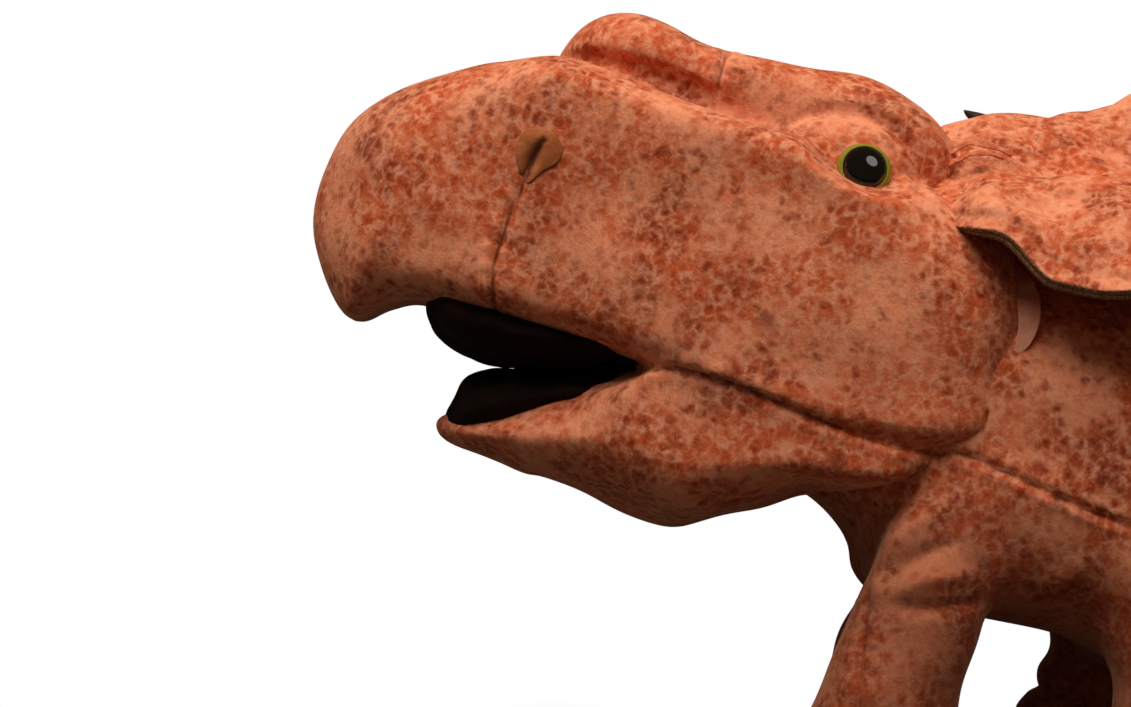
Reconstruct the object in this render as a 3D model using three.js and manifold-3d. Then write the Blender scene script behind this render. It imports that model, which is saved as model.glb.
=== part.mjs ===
// Stuffed horned dinosaur, about 41 cm long: a soft toy of printed pile cloth over polyester filling, standing on four feet.
// Millimetres, +Z up, nose towards -X and the toy's left side towards -Y. The origin is on the floor, in the middle of
// the toy's length and width. Every stuffed volume is a cloth cover round a filling; sewn-on parts are pieces of their own.
// Each volume that flexes against its neighbour ends in a round shoulder that turns in a round seat of the neighbour.
import * as THREE from "three";
import { mergeVertices } from "three/addons/utils/BufferGeometryUtils.js";
import Module from "manifold-3d";

const wasm = await Module();
wasm.setup();

// ---- driving dimensions ----
const CLOTH = 2; // thickness of the pile cloth with its backing
const GAP = 0.35; // space between two pieces that touch
const SIDES = 14; // corners of a lofted section
const BOXY = 2.8; // superellipse power of a full, boxy section
const ROUND = 2.3; // superellipse power of a rounder section
const LEFT = -1; // sign of y on the toy's left
const RIGHT = 1;

const NECK = new THREE.Vector3(-28, 0, 116); // centre of the neck ball, where the head turns and nods
const NECK_BALL = 33;
const HEAD_CLEARANCE = 7.2; // between the head and the shoulders
const MOUTH_CORNER = new THREE.Vector3(-117, 0, 93.4); // the jaw flexes about the line through both corners
const MOUTH_ANGLE = 29; // degrees between the lips
const TAIL_ROOT = new THREE.Vector3(72, 0, 106);
const TAIL_BALL = 20;
const TAIL_CLEARANCE = 3.8; // between the tail's cover and the rump, for the tail to sway
const EYE = new THREE.Vector3(-82, 29.5, 154.4); // centre of an eye's back plate, for y > 0
const EYE_RADIUS = 6.4;
const PUPIL_RADIUS = 5;
const NOSTRIL = new THREE.Vector2(-154, 134); // x and z of a nostril patch

// Sections of a body along X: [x, bottom, height of the widest point, top, half width].
const TORSO = [
  [-50.5, 66, 80, 92, 24],
  [-45, 62, 80, 95, 33],
  [-34, 58, 84, 106, 43],
  [-16, 58, 90, 126, 50],
  [6, 56, 96, 144, 54],
  [30, 57, 98, 150, 54],
  [54, 62, 101, 146, 47],
  [71, 74, 104, 136, 34],
  [80, 88, 106, 123, 17],
];
const CRANIUM = [
  [-205, 99, 108, 119, 9],
  [-199, 88, 108, 134, 18],
  [-188, 85.5, 110, 148, 25],
  [-176, 92.5, 112, 156, 29],
  [-158, 93, 116, 161, 33.5],
  [-117, 93, 118, 157, 41],
  [-66, 94, 118, 156, 50],
  [-46, 99, 120, 150, 50],
  [-33, 111, 122, 136, 40],
];
const BOSS = [
  [-158, 154, 158, 163.5, 13],
  [-150, 154, 161, 173.5, 21.5],
  [-139, 154, 162, 177, 26],
  [-84, 153, 162, 177.5, 29],
  [-62, 151, 160, 173, 26.5],
  [-53, 150, 157, 165, 19],
];
const JAW = [
  [-160, 66.4, 69, 71, 15],
  [-154, 63, 70, 77, 24],
  [-140, 60.4, 72, 85, 30],
  [-114, 59.4, 76, 92.5, 36],
  [-97, 60, 77, 92.5, 38],
  [-80, 68.5, 81, 92.5, 38.5],
  [-65.5, 79, 86, 92.5, 31],
];
const NECK_GUSSET = [
  [-64.5, 78, 84, 91, 20],
  [-52, 66, 80, 93, 20],
];
const TAIL = [
  [74, 88, 106, 124, 19],
  [94, 85, 101, 117, 18],
  [118, 80, 93, 107, 15],
  [146, 75, 85.5, 97, 11.5],
  [176, 72, 79.5, 88, 7.5],
  [205, 73, 76, 79, 3],
];

// Legs: the centre of the hip or shoulder, its radius across and along, the foot's shift along X, and the column's
// sections going up [z, radius along X, radius along Y].
const FORELEG = {
  x: -40, y: 36, z: 80, ball: 16, ballWide: 14.5,
  column: [[3.9, 20, 19.5], [13, 20.5, 20], [26, 17.5, 17], [44, 14.5, 14.8], [64, 14, 14.5], [72, 13, 12]],
};
const HINDLEG = {
  x: 27, y: 38, z: 82, ball: 26, ballWide: 16,
  column: [[3.9, 20.5, 20], [13, 21, 20.5], [26, 19, 18], [44, 18, 16], [64, 17, 14.5], [72, 13, 12]],
};
const LEGS = [
  { name: "foreleg_left", side: LEFT, shape: { ...FORELEG, x: -38 }, step: -1 },
  { name: "foreleg_right", side: RIGHT, shape: { ...FORELEG, x: -32 }, step: 5 },
  { name: "hindleg_left", side: LEFT, shape: HINDLEG, step: 6 },
  { name: "hindleg_right", side: RIGHT, shape: HINDLEG, step: 3 },
];
const SOLE = 3.5; // thickness of a foot's sole patch

// ---- colours ----
const finish = (color, roughness, metalness = 0) => ({ color, roughness, metalness });
const PRINT = finish(0xb5603f, 0.95);
const BELLY = finish(0x6e3b32, 0.95);
const BLACK = finish(0x15110e, 0.95);
const TAN = finish(0x96663a, 0.9);
const HORN = finish(0x2b2622, 0.8);
const FIBRE = finish(0xf2f0ea, 1);
const IRIS = finish(0x8f9130, 0.25);
const PUPIL = finish(0x0b0a09, 0.1);
const NYLON = finish(0xdedcd6, 0.5);

// ---- solids ----
function solidOf(geometry) {
  const bare = geometry.index ? geometry.toNonIndexed() : geometry.clone();
  bare.deleteAttribute("normal");
  bare.deleteAttribute("uv");
  const merged = mergeVertices(bare, 1e-4);
  return new wasm.Manifold(
    new wasm.Mesh({
      numProp: 3,
      vertProperties: merged.attributes.position.array,
      triVerts: new Uint32Array(merged.index.array),
    }),
  );
}

function geometryOf(solid) {
  const mesh = solid.getMesh();
  const geometry = new THREE.BufferGeometry();
  geometry.setAttribute("position", new THREE.BufferAttribute(new Float32Array(mesh.vertProperties), 3));
  geometry.setIndex(new THREE.BufferAttribute(new Uint32Array(mesh.triVerts), 1));
  geometry.computeVertexNormals();
  return geometry;
}

// Moves every vertex of a geometry to where place(vertex) puts it.
function bent(geometry, place) {
  const positions = geometry.attributes.position;
  const vertex = new THREE.Vector3();
  for (let i = 0; i < positions.count; i++) {
    vertex.fromBufferAttribute(positions, i);
    place(vertex);
    positions.setXYZ(i, vertex.x, vertex.y, vertex.z);
  }
  return solidOf(geometry);
}

const power = (value, exponent) => Math.sign(value) * Math.abs(value) ** exponent;

// A body along X through its sections. inset moves every wall inwards, or outwards where it is negative.
function loftAlongX(sections, inset = 0, squareness = ROUND) {
  const last = sections.length - 1;
  const tube = new THREE.CylinderGeometry(1, 1, last, SIDES, last);
  return bent(tube, (v) => {
    const at = Math.round(last / 2 - v.y);
    const [x, bottom, wide, top, half] = sections[at];
    const across = power(v.x, 2 / squareness);
    const up = power(v.z, 2 / squareness);
    const endShift = at === 0 ? inset : at === last ? -inset : 0;
    const reach = up > 0 ? Math.max(top - wide - inset, 0.4) : Math.max(wide - bottom - inset, 0.4);
    v.set(x + endShift, across * Math.max(half - inset, 0.4), wide + up * reach);
  });
}

// A leg's column, going up through its sections round a line that leans with the step.
function legColumn({ side, shape, step }, inset = 0) {
  const last = shape.column.length - 1;
  const tube = new THREE.CylinderGeometry(1, 1, last, SIDES - 4, last);
  return bent(tube, (v) => {
    const [z, alongX, alongY] = shape.column[Math.round(last / 2 + v.y)];
    const lean = step * (1 - z / shape.z);
    v.set(shape.x + lean + v.x * (alongX - inset), side * shape.y - v.z * (alongY - inset), z);
  });
}

const ball = (centre, radius, segments = 16) =>
  solidOf(new THREE.SphereGeometry(radius, segments, segments / 2).translate(centre.x, centre.y, centre.z));

function box(low, high) {
  const size = new THREE.Vector3().subVectors(high, low);
  const middle = new THREE.Vector3().addVectors(low, high).multiplyScalar(0.5);
  return solidOf(new THREE.BoxGeometry(size.x, size.y, size.z).translate(middle.x, middle.y, middle.z));
}

const FAR = 400; // well outside the toy
const slab = (x0, x1, y0, y1, z0, z1) => box(new THREE.Vector3(x0, y0, z0), new THREE.Vector3(x1, y1, z1));
const halfSpace = (side) => (side === LEFT ? slab(-FAR, FAR, -FAR, -GAP / 2, -FAR, FAR) : slab(-FAR, FAR, GAP / 2, FAR, -FAR, FAR));

// The round seat that a shoulder or haunch turns in: circular seen from the side.
function hipBall({ side, shape }, extra = 0) {
  const round = new THREE.SphereGeometry(1, 8, 16).rotateX(Math.PI / 2);
  const radius = shape.ball + extra;
  round.scale(radius, shape.ballWide + extra, radius);
  return solidOf(round.translate(shape.x, side * shape.y, shape.z));
}

// Room below a hip or shoulder for the column to swing in: a wedge, opening downwards, as wide as the leg.
function legWell({ side, shape, step }) {
  const swing = Math.tan(THREE.MathUtils.degToRad(LEG_SWING));
  const [, reach] = shape.column[shape.column.length - 2];
  const outline = new THREE.Shape();
  const top = shape.z - 2;
  outline.moveTo(shape.x - reach - 1.5, top);
  outline.lineTo(shape.x - reach - 4 - (shape.z - 40) * swing + Math.min(step, 0) / 2, 40);
  outline.lineTo(shape.x + reach + 4 + (shape.z - 40) * swing + Math.max(step, 0) / 2, 40);
  outline.lineTo(shape.x + reach + 1.5, top);
  const [, , wide] = shape.column[shape.column.length - 3];
  return prismAlongY(outline, ...mirrored(side, shape.y - wide - 2.5, FAR));
}

const group = new THREE.Group();
function add(name, solid, colour) {
  const mesh = new THREE.Mesh(geometryOf(solid), new THREE.MeshStandardMaterial(colour));
  mesh.name = name;
  group.add(mesh);
}

const sideName = (side) => (side === LEFT ? "left" : "right");
const LEG_SWING = 15; // degrees each way

// ---- torso: two side covers, the plain belly gusset and the filling, with seats for the legs, neck and tail ----
function seats(extra) {
  let cut = ball(NECK, NECK_BALL + extra).add(ball(TAIL_ROOT, TAIL_BALL + extra));
  for (const leg of LEGS) cut = cut.add(hipBall(leg, extra)).add(legWell(leg));
  return cut;
}

function addTorso() {
  const seat = seats(1.2);
  const cover = loftAlongX(TORSO).subtract(loftAlongX(TORSO, CLOTH)).subtract(seat);
  const bellyHalf = 14;
  const bellyTop = 76;
  const belly = slab(-60, 110, -bellyHalf, bellyHalf, 0, bellyTop);
  const aroundBelly = slab(-60, 110, -bellyHalf - GAP, bellyHalf + GAP, -10, bellyTop + GAP);
  add("belly_gusset", cover.intersect(belly), BELLY);
  for (const side of [LEFT, RIGHT]) {
    add(`torso_side_${sideName(side)}`, cover.subtract(aroundBelly).intersect(halfSpace(side)), PRINT);
  }
  add("torso_filling", loftAlongX(TORSO, CLOTH + GAP).subtract(seat), FIBRE);
}

// ---- neck: a ball of filling, and the gusset of cloth that crosses from the throat to the chest ----
function addNeck() {
  add("neck_filling", ball(NECK, NECK_BALL), FIBRE);
  const opened = NECK_GUSSET.map(([x, ...rest], i) => [x + (i ? 5 : -5), ...rest]);
  const shell = loftAlongX(NECK_GUSSET).subtract(loftAlongX(opened, CLOTH));
  add("neck_gusset", shell.subtract(ball(NECK, NECK_BALL + GAP)), PRINT);
}

// ---- head: side covers, boss pad, throat, filling, linings and trims ----
const head = (inset) => loftAlongX(CRANIUM, inset, BOXY);
const boss = (inset) => loftAlongX(BOSS, inset, BOXY);
const headBound = head(-GAP);

function teardrop(x, z, radius) {
  const outline = new THREE.Shape();
  outline.moveTo(x - radius * 0.35, z - radius * 1.45);
  outline.bezierCurveTo(x + radius * 1.2, z - radius * 0.8, x + radius * 1.35, z + radius, x + radius * 0.1, z + radius);
  outline.bezierCurveTo(x - radius * 1.3, z + radius, x - radius * 1.1, z - radius * 0.4, x - radius * 0.35, z - radius * 1.45);
  return outline;
}

// A shape drawn in X and Z, pushed through the toy along Y from y0 to y1.
function prismAlongY(outline, y0, y1, curveSegments = 5) {
  const extruded = new THREE.ExtrudeGeometry(outline, { depth: y1 - y0, bevelEnabled: false, curveSegments });
  return bent(extruded, (v) => v.set(v.x, y1 - v.z, v.y));
}

const mirrored = (side, y0, y1) => (side === LEFT ? [-y1, -y0] : [y0, y1]);

// The eye's own frame: +Z of the lathe along the way it looks.
function eyePiece(profile, side, segments = 12) {
  const points = profile.map(([r, h]) => new THREE.Vector2(r, h));
  const lathe = new THREE.LatheGeometry(points, segments);
  lathe.rotateX(THREE.MathUtils.degToRad(side === LEFT ? 180 : 0));
  lathe.rotateX(THREE.MathUtils.degToRad(side === LEFT ? -14 : 14));
  return solidOf(lathe.translate(EYE.x, side * EYE.y, EYE.z));
}

const SHANK_RADIUS = 1.8;
const SHANK_LENGTH = 13;

function addEye(side) {
  const name = `eye_${sideName(side)}`;
  const cup = [[0, -SHANK_LENGTH], [SHANK_RADIUS, -SHANK_LENGTH], [SHANK_RADIUS, -1.2], [EYE_RADIUS - 1, -1.2], [EYE_RADIUS, 0], [EYE_RADIUS, 1.2], [EYE_RADIUS - 0.7, 2.2], [PUPIL_RADIUS + GAP, 2.6], [PUPIL_RADIUS + GAP, 1], [0, 1]];
  add(`${name}_iris_cup`, eyePiece(cup, side), IRIS);
  const dome = [[0, 1 + GAP], [PUPIL_RADIUS, 1 + GAP], [PUPIL_RADIUS, 2.6], [PUPIL_RADIUS * 0.86, 3.9], [PUPIL_RADIUS * 0.5, 4.9], [0, 5.2]];
  add(`${name}_pupil`, eyePiece(dome, side), PUPIL);
  const washer = [[SHANK_RADIUS + 0.05, -9.5], [5.2, -9.5], [5.2, -8.2], [SHANK_RADIUS + 0.05, -8.2], [SHANK_RADIUS + 0.05, -9.5]];
  add(`${name}_washer`, eyePiece(washer, side), NYLON);
}

// Room in the cover and the filling for an eye's cup, shank and washer.
function eyeRoom(side) {
  const wide = EYE_RADIUS + 0.5;
  const narrow = SHANK_RADIUS + 0.4;
  return eyePiece([[0, -SHANK_LENGTH - 0.6], [narrow, -SHANK_LENGTH - 0.6], [narrow, -10], [5.8, -10], [5.8, -7.7],
    [narrow, -7.7], [narrow, -2.4], [wide, -2.4], [wide, 9], [0, 9]], side);
}

function browFold(side) {
  const arc = new THREE.EllipseCurve(0, 0, 13.5, 10.5, THREE.MathUtils.degToRad(-10), THREE.MathUtils.degToRad(190), false);
  const points = arc.getPoints(6).map((p) => new THREE.Vector3(EYE.x + 1 + p.x, side * (EYE.y + 1), EYE.z - 1 + p.y));
  const section = new THREE.Shape();
  section.absarc(0, 0, 2.6, 0, 2 * Math.PI);
  const fold = new THREE.ExtrudeGeometry(section, {
    steps: 7, bevelEnabled: false, curveSegments: 3, extrudePath: new THREE.CatmullRomCurve3(points),
  });
  return solidOf(fold).subtract(headBound).subtract(eyePiece([[0, -9], [EYE_RADIUS + 1, -9], [EYE_RADIUS + 1, 9], [0, 9]], side));
}

function cheekTab(side) {
  const outline = new THREE.Shape();
  outline.moveTo(-44, 131);
  outline.lineTo(-41.5, 133);
  outline.lineTo(-35.5, 130);
  outline.quadraticCurveTo(-34.5, 122, -37, 110);
  outline.lineTo(-42, 110);
  outline.quadraticCurveTo(-41, 122, -44, 131);
  return prismAlongY(outline, ...mirrored(side, 44, 51.4)).subtract(headBound);
}

function lining(x0, x1, halfFront, halfBack, depth) {
  const outline = new THREE.Shape();
  outline.moveTo(x1, -halfBack);
  outline.lineTo(x1, halfBack);
  outline.lineTo(x0 + halfFront, halfFront);
  outline.absarc(x0 + halfFront, 0, halfFront, Math.PI / 2, (3 * Math.PI) / 2, false);
  return new THREE.ExtrudeGeometry(outline, { depth, bevelEnabled: false, curveSegments: 6 });
}

// Room under the cheeks for the shoulders when the head turns or nods.
const shoulderRoom = () => hipBall(LEGS[0], HEAD_CLEARANCE).add(hipBall(LEGS[1], HEAD_CLEARANCE));

function addHead() {
  const eyeRooms = eyeRoom(LEFT).add(eyeRoom(RIGHT));
  const room = ball(NECK, NECK_BALL + 0.8).add(eyeRooms).add(shoulderRoom());
  const cover = head(0).subtract(head(CLOTH)).subtract(room);
  for (const side of [LEFT, RIGHT]) {
    const name = sideName(side);
    add(`head_side_${name}`, cover.intersect(halfSpace(side)), PRINT);
    const patch = prismAlongY(teardrop(NOSTRIL.x, NOSTRIL.y, 5.6), ...mirrored(side, 5, 60));
    add(`nostril_patch_${name}`, patch.intersect(head(-GAP - 1.3)).subtract(headBound), TAN);
    add(`brow_fold_${name}`, browFold(side), PRINT);
    add(`cheek_tab_${name}`, cheekTab(side), PRINT);
    addEye(side);
  }
  add("head_filling", head(CLOTH + GAP).subtract(room), FIBRE);

  const browRoom = browFold(LEFT).add(browFold(RIGHT));
  const bossRoom = headBound.add(eyeRooms).add(browRoom);
  add("boss_cover", boss(0).subtract(boss(CLOTH)).subtract(bossRoom), PRINT);
  add("boss_filling", boss(CLOTH + GAP).subtract(bossRoom), FIBRE);

  const palate = lining(-174, -126, 16, 31, 3).translate(0, 0, 89.3);
  add("palate_lining", solidOf(palate).subtract(headBound), BLACK);
}

// ---- lower jaw and throat: one lofted body, parted below the mouth corner by the wedge that the jaw flexes through ----
function wedgeCut(behind) {
  const reach = 60;
  const outline = new THREE.Shape();
  const { x, z } = MOUTH_CORNER;
  const sign = behind ? 1 : -1;
  const lean = behind ? 16 : 0;
  outline.moveTo(x + sign * 0.6, z + reach);
  outline.lineTo(x + sign * 0.6, z);
  outline.lineTo(x + sign * 0.6 + lean * 0.75, z - reach);
  outline.lineTo(x + sign * FAR, z - reach);
  outline.lineTo(x + sign * FAR, z + reach);
  return prismAlongY(outline, -FAR, FAR);
}

// Everything under the lower lip's line, which drops forwards from the mouth corner.
function underLip(drop) {
  const slope = Math.tan(THREE.MathUtils.degToRad(MOUTH_ANGLE));
  const outline = new THREE.Shape();
  const { x, z } = MOUTH_CORNER;
  outline.moveTo(x, z - drop);
  outline.lineTo(x - 60, z - drop - 60 * slope);
  outline.lineTo(x - 60, 0);
  outline.lineTo(x + 80, 0);
  outline.lineTo(x + 80, z - drop);
  return prismAlongY(outline, -FAR, FAR);
}

function addJaw() {
  const front = wedgeCut(false);
  const cover = loftAlongX(JAW).subtract(loftAlongX(JAW, CLOTH));
  const body = loftAlongX(JAW).intersect(front).intersect(underLip(4.9));
  add("jaw_cover", body.subtract(loftAlongX(JAW, CLOTH)), PRINT);
  add("jaw_filling", loftAlongX(JAW, CLOTH + GAP).intersect(front).intersect(underLip(5.2)), FIBRE);
  const slope = THREE.MathUtils.degToRad(MOUTH_ANGLE);
  const tongue = lining(-44, -13, 15, 29, 3).rotateY(-slope);
  add("jaw_lining", solidOf(tongue.translate(MOUTH_CORNER.x, 0, MOUTH_CORNER.z - 4.4)), BLACK);

  const behind = wedgeCut(true).subtract(shoulderRoom());
  add("throat_cover", cover.intersect(behind).subtract(slab(-FAR, FAR, -FAR, FAR, 90.5, FAR)), PRINT);
  add("throat_filling", loftAlongX(JAW, CLOTH + GAP).intersect(behind), FIBRE);
}

// ---- frill: front cloth, batting and back cloth, bent like a saddle over the neck ----
const FRILL_FOOT = new THREE.Vector3(-50, 0, 168); // the frill flexes about the line across here

const within = (low, high, v) => THREE.MathUtils.smoothstep(v, low, high);
const hump = (distance, width) => Math.exp(-((distance / width) ** 2));
const FRILL_FOOT_HALF = 46; // half the frill's width where it leaves the head
const FRILL_RIM_HALF = 79; // and at its rim
const CREST_WIDTH = 14; // of the ridge down its middle
const LAPPET = { start: 0.14, low: 0.38, end: 0.95, drop: 8 }; // the dip of each side edge below the straight line

// A point of the frill's middle surface: s runs from the foot (0) to the rim (1), t from the toy's left edge (-1) to its right (1).
function frillPoint(s, t) {
  const share = Math.abs(t);
  const reach = s * (1 + 0.035 * Math.cos(share * 5 * Math.PI) * s);
  const foot = new THREE.Vector3(-60 + 3 * share ** 2, FRILL_FOOT_HALF * t, 166 - 20 * share ** 2);
  const rim = new THREE.Vector3(34 - 26 * share ** 2, Math.sign(t) * FRILL_RIM_HALF * Math.sin(share * 1.45), 190 - 42 * share ** 1.6);
  const point = foot.lerp(rim, reach);
  point.z += (8 + 20 * s) * hump(point.y, CREST_WIDTH);
  point.z -= (1 + 4 * s) * hump(Math.abs(point.y) - 23 - 8 * s, 10);
  const dip = within(LAPPET.start, LAPPET.low, s) * (1 - within(LAPPET.low + 0.1, LAPPET.end, s));
  point.z -= LAPPET.drop * dip * within(0.6, 1, share);
  return point;
}

function frillNormal(s, t) {
  const step = 0.01;
  const along = frillPoint(s + step, t).sub(frillPoint(s - step, t));
  const across = frillPoint(s, Math.min(t + step, 1)).sub(frillPoint(s, Math.max(t - step, -1)));
  return along.cross(across).normalize();
}

// The largest body of a solid: the rest are slivers left by a cut.
function largest(solid) {
  return solid.decompose().reduce((best, body) => (body.volume() > best.volume() ? body : best));
}

const FRILL_CLEARANCE = 2.4; // the frill's foot stands this far off the head, so that it can flex

function frillLayer(low, high, beyond = 0) {
  const sheet = new THREE.BoxGeometry(1, 1, 1, 12, 36, 1);
  return bent(sheet, (v) => {
    const s = (v.x + 0.5) * (1 + beyond);
    const t = v.y * 2;
    const height = v.z > 0 ? high : low;
    v.copy(frillPoint(s, t).addScaledVector(frillNormal(s, t), height));
  });
}

// A soft horn: a rounded cone that stands on the frill with its root at root, leaning along direction.
function softHorn(root, direction, length, radius, flat = 1) {
  const profile = [[0, 0], [radius, 0], [radius * 0.92, length * 0.3], [radius * 0.56, length * 0.7], [0, length]];
  const lathe = new THREE.LatheGeometry(profile.map(([r, h]) => new THREE.Vector2(r, h)), 8);
  lathe.scale(1, 1, flat);
  const turn = new THREE.Quaternion().setFromUnitVectors(new THREE.Vector3(0, 1, 0), direction.clone().normalize());
  lathe.applyQuaternion(turn).translate(root.x, root.y, root.z);
  return solidOf(lathe);
}

function addFrill() {
  const headRoom = head(-FRILL_CLEARANCE).add(boss(-FRILL_CLEARANCE));
  const layers = [["frill_front_cloth", 1.5, 2.9, PRINT], ["frill_batting", -0.9, 0.9, FIBRE], ["frill_back_cloth", -2.9, -1.5, PRINT]];
  for (const [name, low, high, colour] of layers) {
    add(name, largest(frillLayer(low, high).subtract(headRoom)), colour);
  }
  const rimHorns = [0.3, 0.52, 0.74, 0.94];
  for (const side of [LEFT, RIGHT]) {
    rimHorns.forEach((share, i) => {
      const t = side * share;
      const rim = frillPoint(1, t);
      const outwards = rim.clone().sub(frillPoint(0.8, t)).normalize();
      const root = rim.clone().addScaledVector(outwards, 1.2);
      const large = i === 0;
      const horn = softHorn(root, outwards.add(new THREE.Vector3(0, side * (large ? 0.9 : 0.1), large ? 0.5 : 0)),
        large ? 27 : 11 - i, large ? 7.5 : 5.4, large ? 1 : 0.6);
      const bound = frillLayer(-2.9 - GAP, 2.9 + GAP, 0.008);
      add(large ? `frill_horn_${sideName(side)}` : `frill_point_${sideName(side)}_${i}`, horn.subtract(bound), large ? HORN : PRINT);
    });
  }
  [0.16, 0.42, 0.68].forEach((s, i) => {
    const root = frillPoint(s, 0).addScaledVector(frillNormal(s, 0), 2.9 + GAP);
    const lean = frillNormal(s, 0).add(new THREE.Vector3(i === 0 ? -1.2 : 0.5, 0, 0));
    add(`frill_ridge_horn_${i + 1}`, softHorn(root, lean, 9 - i, 4.6, 0.55).subtract(frillLayer(-3, 2.9 + GAP)).subtract(headRoom), i === 0 ? HORN : PRINT);
  });
}

// ---- legs: a filled shoulder or haunch with its column, the cover round the column, and a flat sole patch ----
function addLeg(leg) {
  const coverTop = leg.shape.z - leg.shape.ball * 0.86;
  const cover = legColumn(leg).subtract(taller(leg, CLOTH)).subtract(slab(-FAR, FAR, -FAR, FAR, coverTop, FAR));
  add(`${leg.name}_cover`, cover.subtract(hipBall(leg, GAP)), PRINT);
  const column = legColumn(leg, CLOTH + GAP);
  add(`${leg.name}_filling`, column.add(hipBall(leg)), FIBRE);
  const [, alongX, alongY] = leg.shape.column[0];
  const sole = new THREE.CylinderGeometry(1, 1, SOLE, SIDES + 4).rotateX(Math.PI / 2);
  sole.scale(alongX, alongY, 1).translate(leg.shape.x + leg.step, leg.side * leg.shape.y, SOLE / 2);
  add(`${leg.name}_sole`, solidOf(sole), BELLY);
}

// The inside of a leg's cover, run out past both of its ends so that the cover is open there.
function taller(leg, inset) {
  const column = leg.shape.column.map(([z, ...radii], i, all) => [i === 0 ? z - 2 : i === all.length - 1 ? z + 2 : z, ...radii]);
  return legColumn({ ...leg, shape: { ...leg.shape, column } }, inset);
}

// ---- tail: a tapered cover round its filling, which ends in a ball seated in the rump ----
function addTail() {
  const opened = [[TAIL[0][0] - 4, ...TAIL[0].slice(1)], ...TAIL];
  const seatWall = ball(TAIL_ROOT, TAIL_BALL + GAP);
  const rumpRoom = loftAlongX(TORSO, -TAIL_CLEARANCE);
  add("tail_cover", loftAlongX(TAIL).subtract(loftAlongX(opened, CLOTH)).subtract(seatWall).subtract(rumpRoom), PRINT);
  const filling = loftAlongX(TAIL, CLOTH + GAP).subtract(rumpRoom);
  add("tail_filling", filling.add(ball(TAIL_ROOT, TAIL_BALL)), FIBRE);
}

addTorso();
addNeck();
addHead();
addJaw();
addFrill();
LEGS.forEach(addLeg);
addTail();

export default group;
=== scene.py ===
"""The looks of a stuffed horned dinosaur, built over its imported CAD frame.

Shapes are written in millimetres: nose towards -X, the toy's left towards -Y, +Z up, floor at 0.
Each stuffed volume is a distance field: a side outline that is inflated across the toy. OpenVDB meshes it.
"""

import math

import bpy
import numpy as np
import openvdb
from mathutils import Matrix, Vector
from mathutils.bvhtree import BVHTree


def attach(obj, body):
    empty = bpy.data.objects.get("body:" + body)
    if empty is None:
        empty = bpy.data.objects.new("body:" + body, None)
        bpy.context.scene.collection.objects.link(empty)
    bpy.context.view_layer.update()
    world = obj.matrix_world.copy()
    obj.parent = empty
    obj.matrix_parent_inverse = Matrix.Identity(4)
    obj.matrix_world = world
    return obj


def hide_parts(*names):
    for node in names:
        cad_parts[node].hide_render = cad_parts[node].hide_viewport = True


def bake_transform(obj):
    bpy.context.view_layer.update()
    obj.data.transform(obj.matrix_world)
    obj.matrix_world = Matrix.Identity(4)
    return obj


MM = 0.001
VOXEL = 1.0  # mm, the step of the distance fields

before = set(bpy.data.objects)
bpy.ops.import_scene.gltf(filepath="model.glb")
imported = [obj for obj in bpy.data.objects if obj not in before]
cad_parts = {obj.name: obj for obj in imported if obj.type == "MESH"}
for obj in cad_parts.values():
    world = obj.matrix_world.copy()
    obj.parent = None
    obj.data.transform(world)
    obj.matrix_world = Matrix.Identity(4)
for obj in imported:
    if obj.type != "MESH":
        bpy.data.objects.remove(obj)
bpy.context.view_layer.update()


# ---- curves and tables ----
def smooth_curve(points, closed=False, per_span=8):
    """A Catmull-Rom curve through the points, as an array."""
    p = np.array(points, float)
    n = len(p)
    if closed:
        spans = range(n)
        at = lambda i: p[i % n]
    else:
        spans = range(n - 1)
        at = lambda i: p[i] if 0 <= i < n else (2 * p[0] - p[1] if i < 0 else 2 * p[-1] - p[-2])
    out = []
    for i in spans:
        p0, p1, p2, p3 = at(i - 1), at(i), at(i + 1), at(i + 2)
        for k in range(per_span):
            t = k / per_span
            out.append(0.5 * (2 * p1 + (p2 - p0) * t + (2 * p0 - 5 * p1 + 4 * p2 - p3) * t * t
                              + (3 * p1 - p0 - 3 * p2 + p3) * t ** 3))
    if not closed:
        out.append(p[-1])
    return np.array(out)


def table(pairs, at):
    """Smooth value at `at` of a table of (position, value) pairs."""
    p = np.array(pairs, float)
    slopes = np.gradient(p[:, 1], p[:, 0])
    x = np.clip(at, p[0, 0], p[-1, 0])
    i = np.clip(np.searchsorted(p[:, 0], x) - 1, 0, len(p) - 2)
    h = p[i + 1, 0] - p[i, 0]
    t = (x - p[i, 0]) / h
    return ((2 * t ** 3 - 3 * t ** 2 + 1) * p[i, 1] + (t ** 3 - 2 * t ** 2 + t) * h * slopes[i]
            + (3 * t ** 2 - 2 * t ** 3) * p[i + 1, 1] + (t ** 3 - t ** 2) * h * slopes[i + 1])


def step(x, low, high):
    t = np.clip((x - low) / (high - low), 0, 1)
    return t * t * (3 - 2 * t)


def distance_to_curve(points, curve):
    """Distance of each point to a polyline, and how far along the polyline the nearest place is."""
    best = np.full(len(points), 1e9)
    along = np.zeros(len(points))
    start = 0.0
    for a, b in zip(curve[:-1], curve[1:]):
        d = b - a
        length = np.linalg.norm(d)
        t = np.clip((points - a) @ d / max(length ** 2, 1e-9), 0, 1)
        gap = np.linalg.norm(points - a - t[:, None] * d, axis=1)
        nearer = gap < best
        best = np.where(nearer, gap, best)
        along = np.where(nearer, start + t * length, along)
        start += length
    return best, along


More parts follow.
